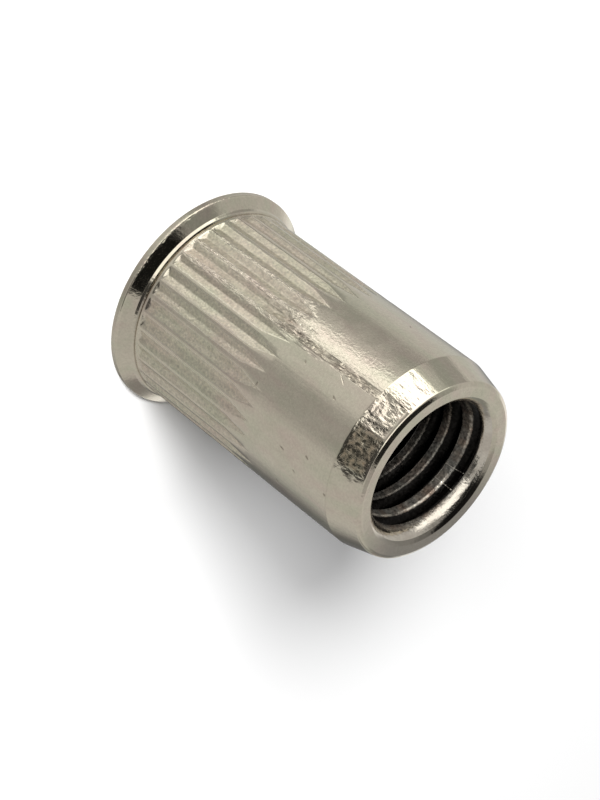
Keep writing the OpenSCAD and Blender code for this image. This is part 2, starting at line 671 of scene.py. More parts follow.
class NutTree:
    """The Geometry Nodes tree that sweeps the section round, cuts the knurl and winds the thread."""

    # Keeps a column's first vertex in it when the numbers are rounded
    NUDGE = 1e-4
    # How close two vertices become one, and how close to the thread's end a vertex lies on it
    MERGE = 1e-6
    END_SLACK = 1e-7
    # How far the bore's finish reaches past the thread's roots, how thick the wall of the plain bore
    # is at least, and how far above the head's face the finish starts
    BORE_REACH_MM = 0.02
    BORE_WALL_MM = 0.8
    BORE_START_MM = 0.05
    # How far outside the thread's roots the wear ends, and the end face's waves do
    WORN_PAST_MM = 0.6
    LIP_PAST_MM = 0.1
    # Depths below the end face between which its waves set in
    LIP_DEPTHS_MM = (0.1, 0.02)
    # Heights between which the rim turns wavy
    RIM_EDGE_MM = (0.34, 0.2)
    WAVES = Unevenness(3.8, 0.012, 1.0)
    RIM_WAVES = Unevenness(1.3, 0.02, 0.8, 4.0, detail=3.0)
    LIP_WAVES = Unevenness(1.1, 0.012, 1.0, 9.0)
    CREASED = Area((-102.6, -84.2), (16.05, 17.36), 0.9, 0.07)
    CREASES = Unevenness(0.75, 0.16, 0.7375, 3.0, twist=0.8)
    WORN_NOSE = Area((-90.0, -50.0), (15.95, 17.45), 6.0, 0.2)
    NOSE_DENTS = Unevenness(0.55, 0.06, 0.6, 5.0)
    SCUFFED = Area((-102.0, -97.6), (8.6, 15.8), 0.8, 0.5)
    WRINKLES = Unevenness(0.22, 0.07, 0.55, 7.0)
    # The share of the height that a wrinkle's pattern counts
    WRINKLE_DRAW = 0.3

    def __init__(self, knurl: Knurl, thread: ThreadForm, lengths: tuple[str, ...]) -> None:
        """Builds the tree.

        Args:
            knurl: How finely the grooves are meshed.
            thread: The thread's form.
            lengths: Names of the inputs that are lengths.
        """
        self.knurl = knurl
        self.thread = thread
        kinds = {"Section": "Geometry", **dict.fromkeys(lengths, "Float"), "Groove Count": "Int",
                 "Flank Slope": "Float", "Mouth Taper": "Float", "Pattern Turn": "Float",
                 "Wear Seed": "Float", "Plating": "Material", "Bore": "Material"}
        inputs = {name: ("NodeSocket" + kind, None) for name, kind in kinds.items()}
        self.tree, self.given, leave = new_tree("turned_and_knurled", Kind.GEOMETRY, inputs,
                                                {"Nut": "NodeSocketGeometry"})
        self.tree.is_modifier = True
        self.index = source(self.tree, "GeometryNodeInputIndex", 0)
        join = add_node(self.tree, "GeometryNodeJoinGeometry")
        self.tree.links.new(self.wound_thread(), join.inputs[0])
        self.tree.links.new(self.turned_body(), join.inputs[0])
        merge = add_node(self.tree, "GeometryNodeMergeByDistance",
                         {"Geometry": join.outputs[0], "Distance": self.MERGE})
        smooth = add_node(self.tree, "GeometryNodeSetShadeSmooth", {"Geometry": merge.outputs[0]})
        solid = add_node(self.tree, "GeometryNodeRealizeInstances", {"Geometry": smooth.outputs[0]})
        plated = add_node(self.tree, "GeometryNodeSetMaterial",
                          {"Geometry": solid.outputs[0], "Material": self.given["Plating"]})
        bored = add_node(self.tree, "GeometryNodeSetMaterial",
                         {"Geometry": plated.outputs[0], "Selection": self.in_bore(),
                          "Material": self.given["Bore"]})
        self.tree.links.new(bored.outputs[0], leave.inputs["Nut"])

    def place(self) -> Term:
        """Where a point of the geometry lies."""
        return source(self.tree, "GeometryNodeInputPosition", 0)

    def in_bore(self) -> Term:
        """The faces of the bore and the thread, inside the countersink's outer edge.

        Returns:
            One on those faces, and nothing elsewhere.
        """
        x, y, z = separate(self.place())
        radius = distance(x, y)
        inside = radius.math("LESS_THAN", self.given["Major Radius"] + self.BORE_REACH_MM * MM)
        wide = radius.math("LESS_THAN", self.given["Shank Radius"] - self.BORE_WALL_MM * MM)
        low = z.math("LESS_THAN", self.given["Thread Start"])
        above_face = z.math("GREATER_THAN", self.BORE_START_MM * MM)
        return (inside + wide * low).clamp() * above_face

    def columns(self) -> Term:
        """Number of columns round the whole nut."""
        return self.given["Groove Count"] * float(self.knurl.columns)

    def grid(self, rows: Term, columns: Term) -> bpy.types.Node:
        """A grid whose rows run along the section and whose columns run round the nut."""
        return add_node(self.tree, "GeometryNodeMeshGrid", {"Vertices X": columns, "Vertices Y": rows})

    def column_and_row(self, rows: Number) -> tuple[Term, Term]:
        """The column and the row of each vertex of a grid with so many rows."""
        column = (self.index / rows + self.NUDGE).math("FLOOR")
        return column, self.index - column * rows

    def spot(self, radius: Term, angle: Term, height: Term) -> Term:
        """The point at a radius, an angle round the nut and a height."""
        return combine(self.tree, radius * angle.math("COSINE"), radius * angle.math("SINE"), height)

    def put(self, grid: bpy.types.Node, spot: Term) -> bpy.types.NodeSocket:
        """Puts a grid's vertices at their points."""
        moved = add_node(self.tree, "GeometryNodeSetPosition",
                         {"Geometry": grid.outputs[0], "Position": spot})
        return moved.outputs[0]

    def groove_number(self, column: Term) -> tuple[Term, Term]:
        """The groove that a column belongs to.

        Args:
            column: The column's number.

        Returns:
            The groove's number, and the column's place in it, from -0.5 to 0.5.
        """
        along = column / float(self.knurl.columns)
        groove = (along + 0.5).math("FLOOR")
        return groove, along - groove

    def groove_in_ring(self, column: Term) -> Term:
        """The number of a column's groove, which starts again after one turn."""
        groove, _ = self.groove_number(column)
        return groove.math("MODULO", self.given["Groove Count"])

    def chance(self, column: Term, seed: float) -> Term:
        """A random number for each groove.

        Args:
            column: The column's number.
            seed: Another value gives other numbers.

        Returns:
            A share from 0 to 1, the same on all columns of a groove.
        """
        spread = add_node(self.tree, "ShaderNodeTexWhiteNoise", {"W": self.groove_in_ring(column) + seed},
                          noise_dimensions="1D")
        return Term(self.tree, spread.outputs["Value"])

    def angle(self, column: Term, share: Number) -> tuple[Term, Term]:
        """The angle of a column, gathered towards the groove's root and edges.

        Args:
            column: The column's number.
            share: The groove's width there, as a share of its full width.

        Returns:
            The angle round the nut, and the part of it that is counted from the groove's middle.
        """
        pitch = math_node(self.tree, "DIVIDE", math.tau, self.given["Groove Count"])
        groove, t = self.groove_number(column)
        gathered = t - (t * (2 * math.tau)).math("SINE") * self.knurl.gather
        on_rib = t.math("ABSOLUTE").math("GREATER_THAN", self.knurl.on_rib)
        width = math_node(self.tree, "MAXIMUM", share, on_rib)
        offset = gathered * width * pitch
        return groove * pitch + offset + self.given["Pattern Turn"], offset

    def run_out(self, column: Term, height: Term) -> Term:
        """How deep a groove is on its way out of the shank.

        Args:
            column: The column's number.
            height: The point's height.

        Returns:
            A share of the groove's full depth.
        """
        shorter = self.chance(column, self.knurl.shorter_seed) * (self.knurl.shorter_mm * MM)
        start = self.given["Groove Rise"] - shorter * 0.5
        return height.ramp(start, self.given["Groove End"] - shorter, 1.0, 0.0)

    def cut(self, column: Term, height: Term, radius: Term, offset: Term) -> Term:
        """Cuts the grooves into the shank.

        Args:
            column: The column's number.
            height: The point's height.
            radius: The point's radius before the cut.
            offset: The angle from the groove's middle.

        Returns:
            The radius after the cut.
        """
        shank = self.given["Shank Radius"]
        shallower = self.chance(column, self.knurl.shallower_seed) * self.knurl.shallower
        full = self.given["Groove Depth"] * (1.0 - shallower)
        away = offset.math("ABSOLUTE")
        apart = self.groove_in_ring(column) * (self.knurl.sway_apart_mm * MM)
        spot = combine(self.tree, apart, offset * shank, height)
        pattern = noise(spot, self.knurl.sway_length_mm, seed=self.knurl.sway_seed)
        sway = (pattern - 0.5) * (self.knurl.sway_mm * MM)
        root = shank - full * self.run_out(column, height) + sway
        flank = root / (away.math("COSINE") - away.math("SINE") * self.given["Flank Slope"])
        start_wall = shank - full * height.ramp(self.given["Groove Start"], self.given["Groove Full"])
        groove = flank.math("SMOOTH_MAX", start_wall, self.given["Edge Softness"])
        cut = radius.math("SMOOTH_MIN", groove, self.given["Edge Softness"])
        knurled = height.math("GREATER_THAN", self.given["Groove Start"])
        knurled = knurled * height.math("LESS_THAN", self.given["Groove End"])
        return radius + (cut - radius) * knurled

    def wear(self, point: Term, azimuth: Term, height: Term) -> Term:
        """How far the surface is raised or dented at a point, in metres.

        Args:
            point: The point on the true surface.
            azimuth: Its azimuth.
            height: Its height.

        Returns:
            The rise along the radius.
        """
        seed = self.given["Wear Seed"]
        on_rim = height.ease(*(edge * MM for edge in self.RIM_EDGE_MM))
        rise = self.WAVES.rise(point, seed)
        rise = rise + self.CREASED.mask(azimuth, height, MM) * self.CREASES.rise(point, seed)
        rise = rise + on_rim * self.RIM_WAVES.rise(point, seed)
        rise = rise + self.WORN_NOSE.mask(azimuth, height, MM) * self.NOSE_DENTS.rise(point, seed)
        wrinkles = self.WRINKLES.rise(drawn_out(point, self.WRINKLE_DRAW), seed)
        return rise + self.SCUFFED.mask(azimuth, height, MM) * wrinkles

    def turned_body(self) -> bpy.types.NodeSocket:
        """Sweeps the section round the axis and cuts the grooves.

        Returns:
            The mesh from the thread's inner end, round the outside, to the countersink.
        """
        size = add_node(self.tree, "GeometryNodeAttributeDomainSize", {"Geometry": self.given["Section"]})
        rows = Term(self.tree, size.outputs["Point Count"])
        grid = self.grid(rows, self.columns() + 1.0)
        column, row = self.column_and_row(rows)
        sample = add_node(self.tree, "GeometryNodeSampleIndex",
                          {"Geometry": self.given["Section"], "Index": row}, data_type="FLOAT_VECTOR")
        feed(self.tree, sample.inputs["Value"], self.place())
        radius, _, height = separate(Term(self.tree, sample.outputs[0]))
        outside = radius.math("GREATER_THAN", self.given["Shank Radius"] - self.given["Groove Depth"] * 2.0)
        spread = height.ease(self.given["Groove End"], self.given["Groove End"] + self.knurl.spread_mm * MM)
        width = self.run_out(column, height).math("MAXIMUM", spread).math("MAXIMUM", 1.0 - outside)
        angle, offset = self.angle(column, width.math("MAXIMUM", self.knurl.least_width))
        cut = self.cut(column, height, radius, offset)
        radius = radius + (cut - radius) * outside
        point = self.spot(radius, angle, height)
        x, y, _ = separate(point)
        azimuth = azimuth_of(x, y)
        major = self.given["Major Radius"]
        open_air = radius.math("GREATER_THAN", major + self.WORN_PAST_MM * MM)
        worn = radius + self.wear(point, azimuth, height) * outside.math("MAXIMUM", open_air)
        on_lip = height.ease(*(self.given["Nut Length"] - depth * MM for depth in self.LIP_DEPTHS_MM))
        on_lip = on_lip * radius.math("GREATER_THAN", major + self.LIP_PAST_MM * MM)
        sunk = self.LIP_WAVES.rise(point, self.given["Wear Seed"]) * on_lip
        return self.put(grid, self.spot(worn, angle, height + sunk))

    def row_place(self, share: Term) -> Term:
        """Where a row lies along one pitch, close to each edge of the thread's form.

        Args:
            share: The row's number, as a share of the last row's.

        Returns:
            A share of the pitch.
        """
        places = self.thread.row_places()
        node = add_node(self.tree, "ShaderNodeFloatCurve", {"Value": share})
        curve = node.mapping.curves[0]
        last = len(places) - 1
        curve.points[0].location = (0.0, 0.0)
        curve.points[1].location = (1.0, 1.0)
        for i in range(1, last):
            curve.points.new(i / last, places[i])
        for point in curve.points:
            point.handle_type = "VECTOR"
        node.mapping.update()
        return Term(self.tree, node.outputs[0])

    def wound_thread(self) -> bpy.types.NodeSocket:
        """Winds the thread as one strip, a pitch wide, that starts and ends as a wedge.

        Returns:
            The mesh from the thread's inner end to the countersink.
        """
        form = self.thread
        pitch = self.given["Thread Pitch"]
        last_row = len(form.row_places()) - 1
        rows = float(last_row + 1)
        # The wedge at either end adds half a turn, and the last column has to lie past the end
        turns = (self.given["Thread End"] - self.given["Thread Start"]) / pitch + 1.0
        length = (turns * self.columns()).math("CEIL") + 2.0
        count = add_node(self.tree, "FunctionNodeInputInt", integer=last_row + 1)
        grid = self.grid(Term(self.tree, count.outputs[0]), length)
        column, row = self.column_and_row(rows)
        angle, _ = self.angle(column, 1.0)
        wound = (angle - self.given["Pattern Turn"]) / math.tau
        start = self.given["Thread Start"]
        end = self.given["Thread End"]
        upper = (start + wound * pitch).clamp(start, end)
        lower = (start + (wound - 1.0) * pitch).clamp(start, end)
        height = lower + (upper - lower) * self.row_place(row / float(last_row))
        phase = ((height - start + self.given["Thread Shift"]) / pitch - wound).math("WRAP", 1.0, 0.0)
        from_root = (phase - form.root_centre).math("ABSOLUTE")
        depth = (from_root - (form.root / 2 + form.flank)) * (-1 / form.flank)
        depth = depth.clamp() * height.ease(start, start + pitch * form.start_fade)
        minor = self.given["Minor Radius"]
        radius = minor + (self.given["Major Radius"] - minor) * depth
        below = self.given["Nut Length"] - height
        sizes = ("Mouth Radius", "Mouth Drop", "Mouth Depth", "Mouth Taper")
        mouth = mouth_wall(below, *(self.given[size] for size in sizes))
        radius = radius.math("SMOOTH_MAX", mouth, self.given["Edge Softness"])
        at_end = height.math("GREATER_THAN", end - self.END_SLACK)
        radius = radius + (self.given["Major Radius"] - radius) * at_end
        strip = self.put(grid, self.spot(radius, angle, height))
        turned = add_node(self.tree, "GeometryNodeFlipFaces", {"Mesh": strip})
        return turned.outputs[0]


@dataclass
class RivetNut:
    """The nut: one turned, knurled and tapped piece."""

    name: str = "rivet_nut_body"
    node: str = "rivet_nut"
    slot: str = "plated_steel"
    sizes: NutSizes = field(default_factory=NutSizes)
    knurl: Knurl = field(default_factory=Knurl)
    thread: ThreadForm = field(default_factory=ThreadForm)
    rim_round_mm: float = 0.05
    rim_upper_round_mm: float = 0.08
    # The narrow bevel between taper and end face: its height, its slope from the axis, and its rounds
    edge_h_mm: float = 0.132
    edge_slope_deg: float = 60.0
    edge_round_mm: float = 0.14
    shoulder_round_mm: float = 0.2
    mouth_steps: int = 6
    wear_seed: float = 4.0

    def mouth(self) -> list[Corner]:
        """The rounded edge from the end face to the place where the thread is cut.

        Returns:
            Its corners, which follow the countersink's curve.
        """
        s = self.sizes
        depths = [s.mouth_cut_mm * i / self.mouth_steps for i in range(self.mouth_steps + 1)]
        return [Corner(s.mouth_radius_mm(d), s.length_mm - d, crisp=d == 0) for d in depths]

    def section(self) -> Section:
        """The nut's section, from the thread's inner end, round the outside, to the countersink.

        Returns:
            The section, open across the thread.
        """
        s = self.sizes
        bore_r = s.shank_r_mm - s.plain_wall_mm
        cone_h = (bore_r - s.minor_r_mm) / math.tan(math.radians(s.bore_cone_deg))
        neck = s.neck_groove_mm
        edge_r = s.nose_end_r_mm + self.edge_h_mm * math.tan(math.radians(s.nose_slope_deg))
        lip_r = edge_r - self.edge_h_mm * math.tan(math.radians(self.edge_slope_deg))
        # Each corner's radius, its height, its round, and the step between rows after it
        return Section((
            Corner(s.minor_r_mm, s.thread_z_mm, step_mm=1.5, crisp=False),
            Corner(bore_r, s.thread_z_mm - cone_h, step_mm=3.0, crisp=False),
            Corner(bore_r, s.mouth_bevel_mm, step_mm=1.0, crisp=False),
            Corner(bore_r + s.mouth_bevel_mm, 0, step_mm=2.0, crisp=False),
            Corner(s.head_r_mm, 0, self.rim_round_mm, 0.2, crisp=False),
            Corner(s.head_r_mm, s.rim_h_mm, self.rim_upper_round_mm, 0.12),
            Corner(s.collar_r_mm, s.collar_z_mm, 0.03, 0.1),
            Corner(s.collar_top_r_mm, s.collar_z_mm + s.collar_h_mm, 0.02, 0.1, crisp=False),
            Corner(s.shank_r_mm - neck, s.head_h_mm, 0.012, 0.1, crisp=False),
            Corner(s.shank_r_mm, s.head_h_mm + neck, 0.01, 0.1),
            Corner(s.shank_r_mm, s.groove_z_mm, 0, 0.05, crisp=False),
            Corner(s.shank_r_mm, s.groove_full_z_mm, 0, 0.3),
            Corner(s.shank_r_mm, s.groove_rise_z_mm - self.knurl.shorter_mm / 2, 0, 0.085, crisp=False),
            Corner(s.shank_r_mm, s.groove_end_z_mm, 0, 0.45, crisp=False),
            Corner(s.shank_r_mm, s.nose_z_mm, self.shoulder_round_mm, 0.075),
            Corner(edge_r, s.length_mm - self.edge_h_mm, self.edge_round_mm, 0.1),
            Corner(lip_r, s.length_mm, self.edge_round_mm, 0.15),
            *self.mouth(),
        ))

    def section_object(self) -> bpy.types.Object:
        """Makes an object whose vertices are the section's points.

        Returns:
            The object, in the scene, with its vertices in order.
        """
        points = [(r * MM, 0.0, z * MM) for r, z in self.section().points()]
        edges = [(i, i + 1) for i in range(len(points) - 1)]
        mesh = bpy.data.meshes.new("nut_section")
        mesh.from_pydata(points, edges, [])
        return linked("nut_section", mesh)

    def lengths_mm(self) -> dict[str, float]:
        """The lengths that the tree takes.

        Returns:
            Lengths by the name of their input.
        """
        s = self.sizes
        return {
            "Shank Radius": s.shank_r_mm,
            "Groove Depth": s.groove_depth_mm,
            "Groove Start": s.groove_z_mm,
            "Groove Full": s.groove_full_z_mm,
            "Groove Rise": s.groove_rise_z_mm,
            "Groove End": s.groove_end_z_mm,
            "Edge Softness": self.knurl.edge_mm,
            "Nut Length": s.length_mm,
            "Mouth Radius": s.mouth_r_mm,
            "Mouth Drop": s.mouth_drop_mm,
            "Mouth Depth": s.mouth_h_mm,
            "Thread Start": s.thread_z_mm,
            "Thread End": s.thread_top_z_mm,
            "Thread Pitch": s.thread_pitch_mm,
            "Thread Shift": s.thread_shift_mm,
            "Minor Radius": s.minor_r_mm,
            "Major Radius": s.thread_r_mm,
        }

    def tree_values(self) -> dict[str, object]:
        """What the tree's named inputs are set to, besides the section and the finishes.

        Returns:
            Values by the name of their input.
        """
        s = self.sizes
        values: dict[str, object] = {name: length * MM for name, length in self.lengths_mm().items()}
        values["Groove Count"] = s.groove_count
        values["Flank Slope"] = s.flank_slope
        values["Mouth Taper"] = s.mouth_taper
        values["Pattern Turn"] = math.radians(s.groove_turn_deg)
        values["Wear Seed"] = self.wear_seed
        return values

    def build(self, plating: bpy.types.Material, bore: bpy.types.Material) -> bpy.types.Object:
        """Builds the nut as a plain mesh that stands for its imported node.

        Args:
            plating: The finish of the outside.
            bore: The finish of the bore and thread.

        Returns:
            The finished piece.
        """
        section = self.section_object()
        modifier = section.modifiers.new("nut", "NODES")
        modifier.node_group = NutTree(self.knurl, self.thread, tuple(self.lengths_mm())).tree
        values = {**self.tree_values(), "Plating": plating, "Bore": bore}
        for item in modifier.node_group.interface.items_tree:
            if item.in_out == "INPUT" and item.name in values:
                modifier[item.identifier] = values[item.name]
        graph = bpy.context.evaluated_depsgraph_get()
        mesh = bpy.data.meshes.new_from_object(section.evaluated_get(graph))
        mesh.name = self.name
        section.modifiers.remove(modifier)
        bpy.data.objects.remove(section)
        self.drop_empty_slot(mesh)
        piece = linked(self.name, mesh)
        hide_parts(self.node)
        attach(piece, "root")
        log.info("%s: %d faces, %d materials", piece.name, len(mesh.polygons), len(mesh.materials))
        return piece

    def drop_empty_slot(self, mesh: bpy.types.Mesh) -> None:
        """Removes the empty first material slot that the node tree leaves.

        Args:
            mesh: The nut's mesh.
        """
        if mesh.materials[0] is None:
            places = [face.material_index - 1 for face in mesh.polygons]
            mesh.materials.pop(index=0)
            mesh.polygons.foreach_set("material_index", places)


@dataclass(frozen=True)
class Mark:
    """A pit or scratch: where it lies, how long and wide it is, and how far it is turned from the axis."""

    azimuth: float
    height_mm: float
    length_mm: float
    width_mm: float
    turn_deg: float
    dark: float


class SurfaceGroups:
    """Shader node groups that the finishes share."""

    VECTOR = "NodeSocketVector"
    FLOAT = "NodeSocketFloat"
    COLOUR = "NodeSocketColor"
    # The grain's lines: the share of the height that their pattern counts, their width and their seed
    LINE_DRAW, LINE_MM, LINE_SEED = 0.06, 0.16, 3.0
    # The mottling: its size, its seed, and the values of its pattern between which a blot begins
    MOTTLE_MM, MOTTLE_SEED, MOTTLE_EDGE = 0.7, 6.0, (0.3, 0.7)
    TONE_SEED = 8.0
    # The drift: the share of the height that its pattern counts, and where a blot begins
    DRIFT_DRAW, DRIFT_EDGE = 0.35, (0.42, 0.7)
    # Its two colours, with the size of their blots and their seed
    DRIFTS = (("First Drift", 0.8, 11.0), ("Second Drift", 1.1, 17.0))
    SOIL_AND_SHADE_SEED = 23.0
    # How strongly full raggedness breaks up the edges of the soil and painted shade
    SOIL_AND_SHADE_BREAK = 3.0

    def __init__(self) -> None:
        """Builds each group once."""
        self.turned_place = self.make_turned_place()
        self.metal_grain = self.make_metal_grain()
        self.colour_drift = self.make_colour_drift()
        self.soil_and_shade = self.make_soil_and_shade()

    def make_turned_place(self) -> bpy.types.NodeTree:
        """Radius and height in millimetres, and azimuth in degrees, of a point on a turned part.

        Returns:
            The group.
        """
        tree, given, leave = new_tree(
            "turned_place", Kind.SHADER, {"Position": (self.VECTOR, None)},
            {"Radius": self.FLOAT, "Azimuth": self.FLOAT, "Height": self.FLOAT})
        x, y, z = separate(given["Position"])
        feed(tree, leave.inputs["Radius"], distance(x, y) / MM)
        feed(tree, leave.inputs["Azimuth"], azimuth_of(x, y))
        feed(tree, leave.inputs["Height"], z / MM)
        return tree

    def make_metal_grain(self) -> bpy.types.NodeTree:
        """Fine speckle, lines drawn along the axis, larger mottling and a fine change of tone about one.

        Returns:
            The group.
        """
        tree, given, leave = new_tree(
            "metal_grain", Kind.SHADER,
            {"Position": (self.VECTOR, None), "Speckle Size": (self.FLOAT, 0.1),
             "Speckle Height": (self.FLOAT, 0.001), "Line Height": (self.FLOAT, 0.001),
             "Tone Spread": (self.FLOAT, 0.3)},
            {"Height": self.FLOAT, "Mottle": self.FLOAT, "Tone": self.FLOAT})
        place = given["Position"]
        speckle = noise(place, given["Speckle Size"]) - 0.5
        lines = noise(drawn_out(place, self.LINE_DRAW), self.LINE_MM, seed=self.LINE_SEED) - 0.5
        height = (speckle * given["Speckle Height"] + lines * given["Line Height"]) * MM
        feed(tree, leave.inputs["Height"], height)
        mottle = noise(place, self.MOTTLE_MM, detail=3.0, seed=self.MOTTLE_SEED)
        feed(tree, leave.inputs["Mottle"], mottle.ease(*self.MOTTLE_EDGE))
        tone = noise(place, given["Speckle Size"], detail=3.0, seed=self.TONE_SEED) - 0.5
        feed(tree, leave.inputs["Tone"], tone * given["Tone Spread"] + 1.0)
        return tree

    def make_colour_drift(self) -> bpy.types.NodeTree:
        """A plating's slight drift between its own colour and two others.

        Returns:
            The group.
        """
        tree, given, leave = new_tree(
            "colour_drift", Kind.SHADER,
            {"Position": (self.VECTOR, None), "Color": (self.COLOUR, (0.6, 0.6, 0.6, 1)),
             "First Drift": (self.COLOUR, (0.6, 0.5, 0.4, 1)),
             "Second Drift": (self.COLOUR, (0.5, 0.55, 0.5, 1)),
             "Amount": (self.FLOAT, 0.5)},
            {"Color": self.COLOUR})
        colour = given["Color"]
        drawn = drawn_out(given["Position"], self.DRIFT_DRAW)
        for drift, size, seed in self.DRIFTS:
            mask = noise(drawn, size, detail=4.0, seed=seed).ease(*self.DRIFT_EDGE) * given["Amount"]
            colour = mixed(mask, colour, given[drift])
        feed(tree, leave.inputs["Color"], colour)
        return tree

    def make_soil_and_shade(self) -> bpy.types.NodeTree:
        """Soil and painted shade that lie where a mask says, with ragged edges.

        Returns:
            The group.
        """
        tree, given, leave = new_tree(
            "soil_and_shade", Kind.SHADER,
            {"Position": (self.VECTOR, None), "Color": (self.COLOUR, (0.6, 0.6, 0.6, 1)),
             "Darkening Color": (self.COLOUR, (0.05, 0.04, 0.03, 1)), "Mask": (self.FLOAT, 0.0),
             "Patch Size": (self.FLOAT, 0.25), "Raggedness": (self.FLOAT, 0.5)},
            {"Color": self.COLOUR, "Darkening Amount": self.FLOAT})
        mask = given["Mask"]
        patches = noise(given["Position"], given["Patch Size"], detail=3.0, seed=self.SOIL_AND_SHADE_SEED) - 0.5
        soil_and_shade = (mask + patches * given["Raggedness"] * mask * self.SOIL_AND_SHADE_BREAK).clamp()
        feed(tree, leave.inputs["Color"], mixed(soil_and_shade, given["Color"], given["Darkening Color"]))
        feed(tree, leave.inputs["Darkening Amount"], soil_and_shade)
        return tree


@dataclass(frozen=True)
class Spot:
    """A point on the nut's surface: its place in metres, and its place round the axis."""

    point: Term
    radius_mm: Term
    azimuth: Term
    height_mm: Term


@dataclass(frozen=True)
class Finish:
    """What each finish of the nut is made with."""

    groups: SurfaceGroups
    sizes: NutSizes = field(default_factory=NutSizes)

    def start(self, name: str) -> tuple[bpy.types.Material, bpy.types.Node, Spot]:
        """Makes a metal material.

        Args:
            name: The material's name.

        Returns:
            The material, its shader node and the point on the surface.
        """
        made = bpy.data.materials.new(name)
        made.use_nodes = True
        shader = made.node_tree.nodes["Principled BSDF"]
        shader.inputs["Metallic"].default_value = 1.0
        point = source(made.node_tree, "ShaderNodeTexCoord", "Object")
        place = self.group(self.groups.turned_place, point, {})
        return made, shader, Spot(point, place["Radius"], place["Azimuth"], place["Height"])

    def group(self, group: bpy.types.NodeTree, point: Term, inputs: dict[str, object]) -> dict[str, Term]:
        """Places a node group that reads its pattern at a point.

        Args:
            group: The group.
            point: The point on the surface.
            inputs: Values for its other inputs.

        Returns:
            Its outputs by name.
        """
        node = add_node(point.tree, "ShaderNodeGroup", {"Position": point, **inputs}, node_tree=group)
        return {output.name: Term(point.tree, output) for output in node.outputs}

    def total(self, areas: tuple[Area, ...], spot: Spot) -> Term:
        """The shares that several patches have at a point, added up."""
        masks = [area.mask(spot.azimuth, spot.height_mm) for area in areas]
        return sum(masks[1:], masks[0])

    def bump(self, tree: bpy.types.NodeTree, shader: bpy.types.Node, height: Term) -> None:
        """Sets a material's relief from a height in metres."""
        relief = add_node(tree, "ShaderNodeBump", {"Strength": 1.0, "Distance": 1.0, "Height": height})
        feed(tree, shader.inputs["Normal"], relief.outputs["Normal"])


@dataclass(frozen=True)
class Scuff(Area):
    """A patch with finer dents of three kinds, each with its height."""

    long_mm: float = 0.0
    broad_mm: float = 0.0
    fine_mm: float = 0.0


